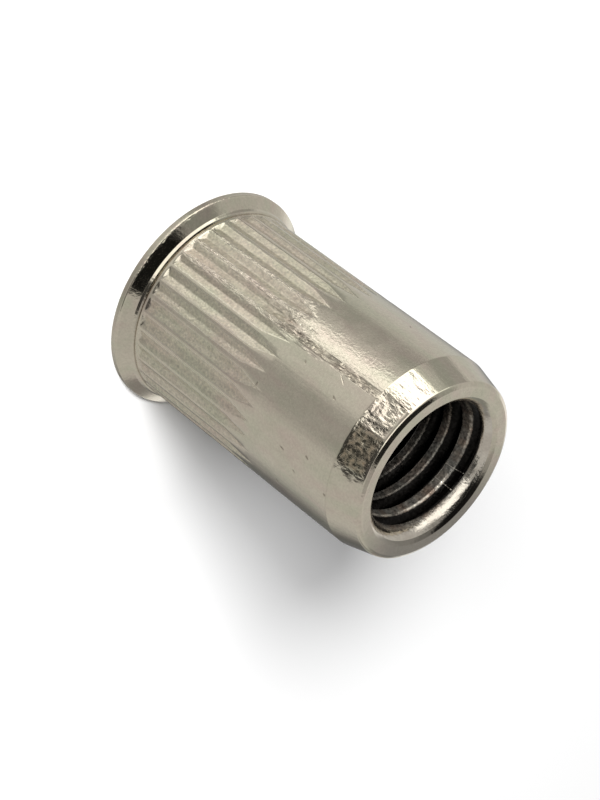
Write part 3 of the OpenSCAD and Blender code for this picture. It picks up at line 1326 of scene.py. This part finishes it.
@dataclass(frozen=True)
class PlatedSteel(Finish):
    """Satin nickel-grey plating over turned steel, with painted shade in its neck, soil on its shoulder and
    in some grooves, handling marks, a painted dark reflection on its nose and painted shade on one side of
    its end face.
    """

    # Seeds of the fine, long and broad dents' patterns, and of the one that breaks up the marks' edges
    FINE_SEED, LONG_SEED, BROAD_SEED, MARK_SEED = 31.0, 33.0, 35.0, 41.0
    colour: Colour = (0.66, 0.60, 0.48)
    pink: Colour = (0.64, 0.54, 0.45)
    green: Colour = (0.58, 0.57, 0.43)
    drift: float = 0.75
    # Colour of the soil, of the painted shade in the neck, and of the dull dark brown painted on the nose's
    # dark patch
    soil_and_shade: Colour = (0.13, 0.085, 0.045)
    raggedness: float = 0.8
    # Colour of the painted shade on one side of the end face
    end_face_shade_colour: Colour = (0.24, 0.22, 0.19)
    # Roughness of the head's underside and the nose, and of each other part
    smooth_roughness: float = 0.10
    shank_roughness: float = 0.19
    groove_roughness: float = 0.46
    rim_roughness: float = 0.36
    lip_roughness: float = 0.24
    mouth_roughness: float = 0.12
    mottle_roughness: float = 0.06
    speckle_mm: float = 0.12
    speckle_height_mm: float = 0.0032
    line_height_mm: float = 0.0045
    tone_spread: float = 0.3
    groove_tone_spread: float = 1.05
    # Depths below the shank between which metal comes to lie in a groove, holds soil, and is a rib's
    groove_from_mm: Range = (0.012, 0.04)
    groove_soil_from_mm: Range = (0.012, 0.05)
    crest_from_mm: Range = (0.07, 0.03)
    # How far above the grooves' start their rougher metal begins, and how softly
    groove_start_mm: float = 0.15
    groove_soft_mm: float = 0.1
    # How far above the neck the shank's finish begins, and how softly
    shank_edge_mm: float = 0.05
    # Heights from the rim's upper edge between which the rim's finish begins
    rim_edge_mm: Range = (-0.01, -0.07)
    # Radii from the mouth's between which the mouth's finish begins
    mouth_edge_mm: Range = (0.06, -0.02)
    # Distances inside the taper's end between which the end face begins
    lip_from_mm: Range = (0.22, 0.34)
    # Painted shade in the neck groove, and soil on the shoulder and in the grooves of one side: how full of
    # it they are, from and to where it lies about the neck's or the shoulder's height, and how softly it ends
    neck_shade: float = 0.8
    neck_shade_mm: Range = (-0.02, 0.03)
    neck_soft_mm: float = 0.03
    shoulder_soil: float = 0.15
    shoulder_soil_mm: Range = (-0.05, 0.0)
    shoulder_soft_mm: float = 0.05
    groove_soil: float = 0.13
    groove_soil_azimuths: Range = (-165.0, -90.0)
    groove_soil_soft_deg: float = 8.0
    # Painted reflection: the nose's patch that reflects the dark case, painted a dull dark brown
    painted_dark_patch: Area = Area((-83.0, -60.0), (15.95, 17.4), 1.2, 0.12, 0.6)
    # Darker along the scuffed streak
    darkened_streak: Area = Area((-101.6, -97.4), (8.8, 15.8), 0.6, 0.4, 0.27)
    # Amounts of soil and painted shade between which the metal turns dull, and how metallic it is then
    soil_and_shade_dull_from: Range = (0.45, 1.0)
    soil_and_shade_metallic: float = 0.5
    # Painted shade on one side of the end face, brown and darkest this far inside the taper's end
    end_face_shade: float = 0.88
    end_face_shade_azimuths: Range = (-8.0, 116.0)
    end_face_shade_soft_deg: float = 32.0
    end_face_shade_in_mm: float = 0.25
    # Where the head looks duller
    dulled: tuple[Area, ...] = (
        Area((-176.0, -46.0), (-1.0, 0.275), 12.0, 0.035, 0.16),
        Area((-126.0, -98.0), (-1.0, 0.275), 8.0, 0.035, 0.26),
        Area((-156.0, -34.0), (0.42, 0.98), 10.0, 0.04, 0.07),
    )
    # The end face's duller side
    lip_dull: float = 0.06
    lip_dull_azimuths: Range = (-68.0, -14.0)
    lip_dull_soft_deg: float = 10.0
    # Size of the fine and long dents and of the broad ones, and the share of the height that the
    # pattern of the long and broad ones counts
    dent_mm: float = 0.13
    broad_dent_mm: float = 0.42
    dent_draw: float = 0.4
    groove_dents_mm: float = 0.04
    crests: Scuff = Scuff((-122.0, -95.0), (1.35, 9.4), 3.0, 0.3, long_mm=0.10)
    scuffs: tuple[Scuff, ...] = (
        # The streak beside the highlight, the narrower one next to it, and where the streak starts
        Scuff((-101.6, -97.4), (8.8, 15.8), 0.5, 0.4, long_mm=0.07, broad_mm=0.32),
        Scuff((-96.4, -95.4), (9.0, 12.0), 0.3, 0.5, 0.5, long_mm=0.07, broad_mm=0.32),
        Scuff((-107.0, -97.0), (7.2, 10.6), 1.5, 0.8, 0.7, long_mm=0.07, broad_mm=0.32),
        # The grainy metal on the streak's other side
        Scuff((-116.0, -102.0), (8.6, 15.8), 2.0, 0.6, long_mm=0.01, fine_mm=0.014),
        # The nose: its creases, its dark patch and its bright side
        Scuff((-103.2, -83.8), (15.9, 17.35), 0.4, 0.05, long_mm=0.05, broad_mm=0.13, fine_mm=0.02),
        Scuff((-83.8, -58.0), (15.9, 17.45), 2.0, 0.1, long_mm=0.03, broad_mm=0.1, fine_mm=0.018),
        Scuff((-122.0, -103.2), (15.9, 17.45), 1.0, 0.1, long_mm=0.03, broad_mm=0.06),
        # The head's near side and its upper edge
        Scuff((-116.0, -78.0), (-1.0, 0.75), 6.0, 0.25, fine_mm=0.01),
        Scuff((-136.0, -74.0), (0.25, 0.42), 8.0, 0.04, broad_mm=0.04, fine_mm=0.025),
    )
    # How deep a mark is, how much soil it holds, how far its edge is broken up, and how finely
    mark_depth_mm: float = 0.012
    mark_soil: float = 0.8
    mark_break: float = 1.6
    mark_break_mm: float = 0.12
    # Distances from a mark's middle, in marks, between which it fades
    mark_edge: Range = (0.3, 1.2)
    marks: tuple[Mark, ...] = (
        Mark(-50.9, 14.19, 0.30, 0.12, 25, 0.7),
        Mark(-45.9, 12.49, 0.34, 0.10, 15, 0.7),
        Mark(-37.9, 13.48, 0.26, 0.14, 35, 0.7),
        Mark(-37.9, 15.72, 0.20, 0.16, 30, 0.7),
        Mark(-84.9, 14.03, 0.34, 0.12, 30, 0.5),
        Mark(-90.9, 11.39, 0.26, 0.12, 50, 0.5),
        Mark(-66.9, 9.70, 0.14, 0.42, 10, 0.5),
        Mark(-95.5, 13.60, 0.50, 0.06, 35, 0.3),
        Mark(-94.0, 13.85, 0.40, 0.06, 40, 0.3),
        Mark(-20.0, 12.10, 0.30, 0.12, 70, 0.5),
        Mark(40.0, 13.20, 0.36, 0.10, 20, 0.6),
        Mark(95.0, 11.90, 0.28, 0.14, 60, 0.6),
        Mark(150.0, 14.60, 0.40, 0.08, 30, 0.5),
        Mark(-150.0, 13.00, 0.30, 0.12, 40, 0.6),
    )

    def mark_mask(self, spot: Spot) -> tuple[Term, Term]:
        """The pits and scratches.

        Args:
            spot: The point on the surface.

        Returns:
            How deep the marks are and how dark they are, from 0 to 1.
        """
        ragged = (noise(spot.point, self.mark_break_mm, seed=self.MARK_SEED) - 0.5) * self.mark_break
        depth: Number = 0.0
        dark: Number = 0.0
        for mark in self.marks:
            turn = math.radians(mark.turn_deg)
            across = (spot.azimuth - mark.azimuth) * (math.radians(1) * self.sizes.shank_r_mm)
            along = spot.height_mm - mark.height_mm
            u = (along * math.cos(turn) + across * math.sin(turn)) / (mark.length_mm / 2)
            v = (across * math.cos(turn) - along * math.sin(turn)) / (mark.width_mm / 2)
            mask = (distance(u, v) + ragged).ease(*self.mark_edge, 1.0, 0.0)
            depth = mask.math("MAXIMUM", depth)
            dark = (mask * mark.dark).math("MAXIMUM", dark)
        return depth, dark

    def soil_and_shade_mask(self, spot: Spot) -> Term:
        """Where soil and painted shade lie: painted shade in the neck groove, soil on the shoulder and in the
        grooves of one side, a painted dark reflection on the nose, and darkening along a scuffed streak.

        Args:
            spot: The point on the surface.

        Returns:
            How full of soil and painted shade it is.
        """
        s = self.sizes
        height, azimuth = spot.height_mm, spot.azimuth
        in_neck = (s.head_h_mm + edge for edge in self.neck_shade_mm)
        # Painted shade in the neck groove
        mask = height.window(*in_neck, self.neck_soft_mm) * self.neck_shade
        on_shoulder = (s.nose_z_mm + edge for edge in self.shoulder_soil_mm)
        shoulder = height.window(*on_shoulder, self.shoulder_soft_mm) * self.shoulder_soil
        groove = (s.shank_r_mm - spot.radius_mm).ease(*self.groove_soil_from_mm)
        groove = groove * azimuth.window(*self.groove_soil_azimuths, self.groove_soil_soft_deg)
        groove = groove * height.window(s.groove_z_mm, s.groove_end_z_mm, self.groove_soft_mm)
        streak = self.darkened_streak.mask(azimuth, height)
        for other in (shoulder, groove * self.groove_soil, self.painted_dark_patch.mask(azimuth, height), streak):
            mask = mask.math("MAXIMUM", other)
        return mask

    def relief(self, spot: Spot, in_groove: Term) -> Term:
        """The finer dents, on worn patches, on rib crests and in the grooves.

        Args:
            spot: The point on the surface.
            in_groove: One in the grooves of the knurl.

        Returns:
            Height of the relief, in millimetres.
        """
        drawn = drawn_out(spot.point, self.dent_draw)
        fine = noise(spot.point, self.dent_mm, detail=3.0, seed=self.FINE_SEED) - 0.5
        long = noise(drawn, self.dent_mm, detail=3.0, seed=self.LONG_SEED) - 0.5
        broad = noise(drawn, self.broad_dent_mm, seed=self.BROAD_SEED) - 0.5
        on_crest = (self.sizes.shank_r_mm - spot.radius_mm).ease(*self.crest_from_mm)
        crests = self.crests.mask(spot.azimuth, spot.height_mm) * on_crest
        relief = crests * long * self.crests.long_mm + in_groove * fine * self.groove_dents_mm
        for scuff in self.scuffs:
            dents = long * scuff.long_mm + broad * scuff.broad_mm + fine * scuff.fine_mm
            relief = relief + scuff.mask(spot.azimuth, spot.height_mm) * dents
        return relief

    def roughness(self, spot: Spot, in_groove: Term, on_lip: Term) -> Term:
        """How rough each part of the nut is.

        Args:
            spot: The point on the surface.
            in_groove: One in the grooves of the knurl.
            on_lip: One on the end face.

        Returns:
            The roughness without its mottling.
        """
        s = self.sizes
        on_shank = spot.height_mm.window(s.head_h_mm + self.shank_edge_mm, s.nose_z_mm, self.shank_edge_mm)
        on_rim = spot.height_mm.ease(*(s.rim_h_mm + edge for edge in self.rim_edge_mm))
        in_mouth = spot.radius_mm.ease(*(s.mouth_r_mm + edge for edge in self.mouth_edge_mm))
        roughness: Number = self.smooth_roughness
        for mask, level in ((on_shank, self.shank_roughness), (in_groove, self.groove_roughness),
                            (on_rim, self.rim_roughness), (on_lip, self.lip_roughness),
                            (in_mouth, self.mouth_roughness)):
            roughness = mask.blend(roughness, level)
        return roughness

    def base_colour(self, spot: Spot, dark: Term) -> tuple[Term, Term]:
        """The plating's colour with its drift, its soil and painted shade, and painted shade on one side of
        its end face.

        Args:
            spot: The point on the surface.
            dark: How dark the marks are.

        Returns:
            The colour, and how much soil and painted shade lie on it.
        """
        end_r = self.sizes.nose_end_r_mm
        tinted = self.group(self.groups.colour_drift, spot.point,
                            {"Color": opaque(self.colour), "First Drift": opaque(self.pink),
                             "Second Drift": opaque(self.green), "Amount": self.drift})
        mask = self.soil_and_shade_mask(spot).math("MAXIMUM", dark * self.mark_soil)
        soiled_and_shaded = self.group(self.groups.soil_and_shade, spot.point,
                            {"Color": tinted["Color"], "Darkening Color": opaque(self.soil_and_shade), "Mask": mask,
                             "Raggedness": self.raggedness})
        # Painted shade: one side of the end face painted darker and browner
        end_face_shade = spot.radius_mm.ease(end_r, end_r - self.end_face_shade_in_mm) * self.end_face_shade
        end_face_shade = end_face_shade * spot.azimuth.window(*self.end_face_shade_azimuths, self.end_face_shade_soft_deg)
        return mixed(end_face_shade, soiled_and_shaded["Color"], opaque(self.end_face_shade_colour)), soiled_and_shaded["Darkening Amount"]

    def material(self) -> bpy.types.Material:
        """Makes the material.

        Returns:
            The plating.
        """
        s = self.sizes
        made, shader, spot = self.start("nickel_plating")
        tree = made.node_tree
        knurled = spot.height_mm.window(s.groove_z_mm + self.groove_start_mm, s.groove_end_z_mm,
                                        self.groove_soft_mm)
        in_groove = (s.shank_r_mm - spot.radius_mm).ease(*self.groove_from_mm) * knurled
        on_lip = spot.radius_mm.ease(*(s.nose_end_r_mm - inside for inside in self.lip_from_mm))
        spread = in_groove.blend(self.tone_spread, self.groove_tone_spread)
        grain = self.group(self.groups.metal_grain, spot.point,
                           {"Speckle Size": self.speckle_mm, "Speckle Height": self.speckle_height_mm,
                            "Line Height": self.line_height_mm, "Tone Spread": spread})
        mottling = (grain["Mottle"] - 0.5) * self.mottle_roughness
        feed(tree, shader.inputs["Roughness"], self.roughness(spot, in_groove, on_lip) + mottling)
        depth, dark = self.mark_mask(spot)
        colour, soil_and_shade = self.base_colour(spot, dark)
        lip_side = spot.azimuth.window(*self.lip_dull_azimuths, self.lip_dull_soft_deg)
        dull = on_lip * lip_side * self.lip_dull + self.total(self.dulled, spot)
        feed(tree, shader.inputs["Base Color"], toned(colour, grain["Tone"] * (1.0 - dull)))
        feed(tree, shader.inputs["Metallic"], soil_and_shade.ease(*self.soil_and_shade_dull_from, 1.0, self.soil_and_shade_metallic))
        dents = self.relief(spot, in_groove) - depth * self.mark_depth_mm
        self.bump(tree, shader, grain["Height"] + dents * MM)
        return made


@dataclass(frozen=True)
class BoreSteel(Finish):
    """The tapped bore: worn grey crests, and flanks and roots painted near-black as shade, darker deeper in.
    """

    # Seed of the pattern that breaks off the worn edges
    EDGE_SEED = 51.0
    mouth_colour: Colour = (0.66, 0.61, 0.52)
    # Painted shade: the steel inside is painted this dark, darkening from the mouth's colour with depth
    colour: Colour = (0.22, 0.21, 0.185)
    rust: Colour = (0.24, 0.15, 0.10)
    edge: Colour = (0.40, 0.37, 0.31)
    # Painted shade: the near-black laid on the flanks, the roots and the deeper lands
    soil_and_shade: Colour = (0.011, 0.010, 0.009)
    shade_patch_mm: float = 0.16
    raggedness: float = 0.9
    roughness: float = 0.28
    mouth_roughness: float = 0.16
    mottle_roughness: float = 0.14
    # Below one, so that the worn lands take the lamps' light as dull metal does
    metallic: float = 0.78
    speckle_mm: float = 0.14
    speckle_height_mm: float = 0.018
    tone_spread: float = 2.9
    mouth_tone_spread: float = 0.3
    drift: float = 0.56
    mouth_drift: float = 0.14
    # Depths below the end face between which each begins: the inside's painted shade, painted shade on
    # its lands, more painted shade on the deeper lands, and worn edges
    inner_shade_from_mm: Range = (0.5, 0.85)
    land_shade_from_mm: Range = (0.7, 0.9)
    deep_shade_from_mm: Range = (1.3, 2.8)
    worn_from_mm: Range = (0.45, 0.7)
    # Depths below the countersink or the crests between which a flank begins
    flank_from_mm: Range = (0.05, 0.13)
    # Depths of a worn edge below the crest, how soft it is, and where its pattern breaks it off
    edge_depths_mm: Range = (0.006, 0.06)
    edge_soft_mm: float = 0.012
    edge_break_mm: float = 0.45
    edge_break: Range = (0.4, 0.58)
    # How dark the painted shade makes the flanks, the lands and the deeper lands
    flank_shade: float = 2.0
    land_shade: float = 0.34
    deep_shade_share: float = 0.62
    scratches: tuple[Area, ...] = (
        Area((90.9, 91.5), (15.7, 16.95), 0.15, 0.1, 0.6),
        Area((105.8, 106.3), (15.7, 16.95), 0.15, 0.1, 0.6),
    )

    def soiled_and_shaded(self, spot: Spot, colour: Term, below: Term, sunk: Term) -> Term:
        """Lays painted shade, scratches and worn edges over the steel.

        Args:
            spot: The point on the surface.
            colour: The steel's colour.
            below: The point's depth below the end face.
            sunk: Its depth below the countersink or the crests.

        Returns:
            The colour.
        """
        # Painted shade: near-black on the flanks and roots, and on the lands, darker deeper in the bore
        deep_shade = below.ease(*self.deep_shade_from_mm) * self.deep_shade_share
        mask = (sunk.ease(*self.flank_from_mm) * self.flank_shade).math("MAXIMUM", deep_shade)
        mask = mask.math("MAXIMUM", below.ease(*self.land_shade_from_mm) * self.land_shade)
        soiled_and_shaded = self.group(self.groups.soil_and_shade, spot.point,
                            {"Color": colour, "Darkening Color": opaque(self.soil_and_shade), "Mask": mask,
                             "Patch Size": self.shade_patch_mm, "Raggedness": self.raggedness})
        scratched = mixed(self.total(self.scratches, spot), soiled_and_shaded["Color"], opaque(self.mouth_colour))
        pattern = noise(spot.point, self.edge_break_mm, detail=3.0, seed=self.EDGE_SEED)
        broken = pattern.ease(*self.edge_break)
        on_edge = sunk.window(*self.edge_depths_mm, self.edge_soft_mm)
        worn_edge = on_edge * below.ease(*self.worn_from_mm) * broken
        return mixed(worn_edge * (1.0 - deep_shade), scratched, opaque(self.edge))

    def material(self) -> bpy.types.Material:
        """Makes the material.

        Returns:
            The bore's steel.
        """
        s = self.sizes
        made, shader, spot = self.start("bore_steel")
        tree = made.node_tree
        below = s.length_mm - spot.height_mm
        # Painted shade: the colour darkens from the mouth's inwards along this ramp, which also sets
        # roughness and tone
        inner = below.ease(*self.inner_shade_from_mm)
        grain = self.group(self.groups.metal_grain, spot.point,
                           {"Speckle Size": self.speckle_mm, "Speckle Height": self.speckle_height_mm,
                            "Line Height": 0.0,
                            "Tone Spread": inner.blend(self.mouth_tone_spread, self.tone_spread)})
        mottling = (grain["Mottle"] - 0.5) * self.mottle_roughness
        roughness = inner.blend(self.mouth_roughness, self.roughness) + mottling
        feed(tree, shader.inputs["Roughness"], roughness)
        inside = mixed(inner, opaque(self.mouth_colour), opaque(self.colour))
        tinted = self.group(self.groups.colour_drift, spot.point,
                            {"Color": inside, "First Drift": opaque(self.rust),
                             "Second Drift": opaque(self.rust),
                             "Amount": inner.blend(self.mouth_drift, self.drift)})
        wall = mouth_wall(below, s.mouth_r_mm, s.mouth_drop_mm, s.mouth_h_mm, s.mouth_taper)
        sunk = spot.radius_mm - wall.math("MAXIMUM", s.minor_r_mm)
        on_land = 1.0 - sunk.ease(*self.flank_from_mm)
        feed(tree, shader.inputs["Metallic"], (inner * on_land).blend(1.0, self.metallic))
        colour = self.soiled_and_shaded(spot, tinted["Color"], below, sunk)
        feed(tree, shader.inputs["Base Color"], toned(colour, grain["Tone"]))
        self.bump(tree, shader, grain["Height"])
        return made


@dataclass(frozen=True)
class Card:
    """A soft-edged patch of the studio that the metal reflects, in degrees from the studio's front."""

    name: str
    left: float
    right: float
    bottom: float
    top: float
    level: float
    soft_side: float
    soft_ends: float

    def mask(self, azimuth: Term, elevation: Term) -> Term:
        """How far a direction belongs to the card, which may reach past the studio's back.

        Args:
            azimuth: The direction's azimuth from the studio's front, up to half a turn either way.
            elevation: Its elevation.

        Returns:
            One inside, fading to nothing at the edges.
        """
        past_left, past_right = self.left < -HALF_TURN_DEG, self.right > HALF_TURN_DEG
        if past_right and not past_left:
            azimuth = azimuth + azimuth.math("LESS_THAN", 0.0) * (2 * HALF_TURN_DEG)
        elif past_left and not past_right:
            azimuth = azimuth - azimuth.math("GREATER_THAN", 0.0) * (2 * HALF_TURN_DEG)
        across = azimuth.window(self.left, self.right, self.soft_side)
        return across * elevation.window(self.bottom, self.top, self.soft_ends)


@dataclass(frozen=True)
class Lamp:
    """A round soft lamp: its turn from the studio's front, its elevation, its width and its power."""

    name: str
    turn_deg: float
    elevation_deg: float
    size: float
    power: float
    distance: float = 1.0


@dataclass
class Studio:
    """Floor, world, lamps and camera."""

    # Azimuth of the studio's front, from which the cards are counted
    front_deg: float = -85.92
    camera_azimuth_deg: float = -86.555
    camera_elevation_deg: float = 34.055
    camera_roll_deg: float = 127.572
    camera_distance_mm: float = 131.626
    aim_mm: tuple[float, float, float] = (1.208, 0.052, 8.820)
    # How near and how far the camera sees, in metres
    clip: Range = (0.001, 10.0)
    # Focal length in pixels, and the longer side of the picture
    focal_px: float = 2600.0
    long_side_px: float = 800.0
    sensor_mm: float = 36.0
    floor_half: float = 1.5
    floor_colour: float = 0.93
    # Distances from the nut between which the floor turns plain white to the eye, in metres
    floor_fade: Range = (0.09, 0.25)
    # What the metal sees where there is no card, and how brightly the world lights all else
    plain_level: float = 0.6
    world_level: float = 0.08
    lamps: tuple[Lamp, ...] = (
        Lamp("main lamp", -18, 31, 0.26, 12.4),
        Lamp("low lamp", -4, 27, 0.28, 8.2),
        Lamp("side lamp", -50, 52, 0.5, 2.2),
    )
    cards: tuple[Card, ...] = (
        Card("ceiling", -180, -41, 46, 72, 0.44, 4, 3),
        Card("left paper", -200, -108, -90, 2, 0.66, 8, 6),
        Card("left dim paper", -98, -66, -90, -20, 0.42, 5, 6),
        Card("left dim case", -114, -84, -26, 8, 0.42, 4, 4),
        Card("front paper", -34, 6, -90, -18, 0.72, 3, 6),
        Card("front dim paper", 7, 51, -90, -18, 0.43, 8, 5),
        Card("back strip", 150, 210, -16, 9, 1.1, 8, 6),
        Card("back card", 145, 215, 24, 46, 0.66, 6, 5),
        Card("right dark paper", 130, 200, -90, -17, 0.15, 20, 6),
        Card("right card", 127, 170, -3, 18, 0.3, 5, 4),
        Card("horizon", -58, 15, 10, 41, 1.7, 5, 3),
        Card("horizon's left", -88, -56, 10, 28, 1.7, 5, 3),
        Card("ceiling's middle", -88, -46, 37, 60, 0.33, 6, 4),
        Card("window", -70, -34, -26, 10, 2.4, 2, 3),
        Card("window on the paper", -49, -34, -90, -20, 1.7, 2.5, 3),
        Card("dark case", 6, 54, -17, 8, 0.07, 2, 3),
        Card("dark case's side", 18, 54, 8, 30, 0.06, 3, 3),
        Card("dim front", -32, 5, -17, 7, 0.42, 2, 3),
        Card("dark ceiling", -44, 46, 46, 91, 0.01, 4, 2),
        Card("zenith", -181, 181, 60, 91, 0.02, 1, 3),
        Card("ceiling's right", 66, 150, 58, 74, 0.45, 8, 3),
    )

    def camera(self) -> bpy.types.Object:
        """Makes the camera, at the place and turn from which the nut is seen as in the photograph.

        Returns:
            The scene's camera.
        """
        data = bpy.data.cameras.new("camera")
        data.sensor_width = self.sensor_mm
        data.lens = self.focal_px / self.long_side_px * self.sensor_mm
        data.clip_start, data.clip_end = self.clip
        camera = linked("camera", data)
        back = self.direction(self.camera_azimuth_deg, self.camera_elevation_deg)
        roll = Matrix.Rotation(math.radians(self.camera_roll_deg), 4, "Z")
        place = Vector(self.aim_mm) * MM + back * (self.camera_distance_mm * MM)
        camera.matrix_world = self.facing(place, back) @ roll
        bpy.context.scene.camera = camera
        return camera

    def direction(self, azimuth_deg: float, elevation_deg: float) -> Vector:
        """A direction from its two angles.

        Args:
            azimuth_deg: Its azimuth.
            elevation_deg: Its elevation.

        Returns:
            The direction, one metre long.
        """
        azimuth, elevation = math.radians(azimuth_deg), math.radians(elevation_deg)
        level = math.cos(elevation)
        return Vector((math.cos(azimuth) * level, math.sin(azimuth) * level, math.sin(elevation)))

    def facing(self, place: Vector, back: Vector) -> Matrix:
        """The place and turn of a camera or lamp, given the direction behind it."""
        return Matrix.Translation(place) @ back.to_track_quat("Z", "Y").to_matrix().to_4x4()

    def floor(self) -> bpy.types.Object:
        """Makes the plain pale floor, which the metal's reflections pass through to the studio's cards.

        Returns:
            The floor.
        """
        h = self.floor_half
        mesh = bpy.data.meshes.new("floor")
        mesh.from_pydata([(-h, -h, 0), (h, -h, 0), (h, h, 0), (-h, h, 0)], [], [(0, 1, 2, 3)])
        obj = linked("floor", mesh)
        made = bpy.data.materials.new("floor_paper")
        made.use_nodes = True
        tree = made.node_tree
        tree.nodes.clear()
        paper = add_node(tree, "ShaderNodeBsdfDiffuse", {"Color": opaque((self.floor_colour,) * 3)})
        clear = add_node(tree, "ShaderNodeBsdfTransparent")
        x, y, _ = separate(source(tree, "ShaderNodeTexCoord", "Object"))
        far = distance(x, y).ease(*self.floor_fade) * source(tree, "ShaderNodeLightPath", "Is Camera Ray")
        bright = add_node(tree, "ShaderNodeEmission")
        near = add_node(tree, "ShaderNodeMixShader", {0: far, 1: paper.outputs[0], 2: bright.outputs[0]})
        glossy = source(tree, "ShaderNodeLightPath", "Is Glossy Ray")
        mix = add_node(tree, "ShaderNodeMixShader", {0: glossy, 1: near.outputs[0], 2: clear.outputs[0]})
        add_node(tree, "ShaderNodeOutputMaterial", {"Surface": mix.outputs[0]})
        mesh.materials.append(made)
        return obj

    def world(self) -> None:
        """Makes the world: plain and pale to the eye, and a room of soft cards to the metal."""
        world = bpy.data.worlds.new("studio")
        world.use_nodes = True
        world.cycles.sampling_method = "NONE"
        bpy.context.scene.world = world
        tree = world.node_tree
        tree.nodes.clear()
        x, y, z = separate(source(tree, "ShaderNodeTexCoord", "Generated"))
        front = math.radians(self.front_deg)
        ahead = x * math.cos(front) + y * math.sin(front)
        side = y * math.cos(front) - x * math.sin(front)
        azimuth = azimuth_of(ahead, side)
        elevation = z.clamp(-1.0, 1.0).math("ARCSINE") * RADIAN
        level: Number = self.plain_level
        for card in self.cards:
            level = card.mask(azimuth, elevation).blend(level, card.level)
            level.socket.node.label = card.name
        plain = source(tree, "ShaderNodeLightPath", "Is Camera Ray").blend(self.world_level, 1.0)
        strength = source(tree, "ShaderNodeLightPath", "Is Glossy Ray").blend(plain, level)
        background = add_node(tree, "ShaderNodeBackground", {"Color": (1, 1, 1, 1), "Strength": strength})
        add_node(tree, "ShaderNodeOutputWorld", {"Surface": background.outputs[0]})

    def hang(self, lamp: Lamp) -> bpy.types.Object:
        """Hangs a lamp, which throws a soft shadow and isn't seen in the metal.

        Args:
            lamp: What it is like and where it hangs.

        Returns:
            The lamp.
        """
        data = bpy.data.lights.new(lamp.name, "AREA")
        data.shape = "DISK"
        data.size = lamp.size
        data.energy = lamp.power
        obj = linked(lamp.name, data)
        obj.visible_glossy = False
        away = self.direction(self.front_deg + lamp.turn_deg, lamp.elevation_deg)
        obj.matrix_world = self.facing(away * lamp.distance, away)
        return obj

    def build(self) -> None:
        """Sets up the whole studio."""
        self.camera()
        self.floor()
        self.world()
        for lamp in self.lamps:
            self.hang(lamp)
        bpy.context.scene.view_settings.view_transform = "Standard"


def main() -> None:
    """Builds the studio and the nut."""
    logging.basicConfig(level=logging.INFO, format="%(name)s: %(message)s")
    Studio().build()
    groups = SurfaceGroups()
    RivetNut().build(PlatedSteel(groups).material(), BoreSteel(groups).material())


if __name__ == "__main__":
    main()
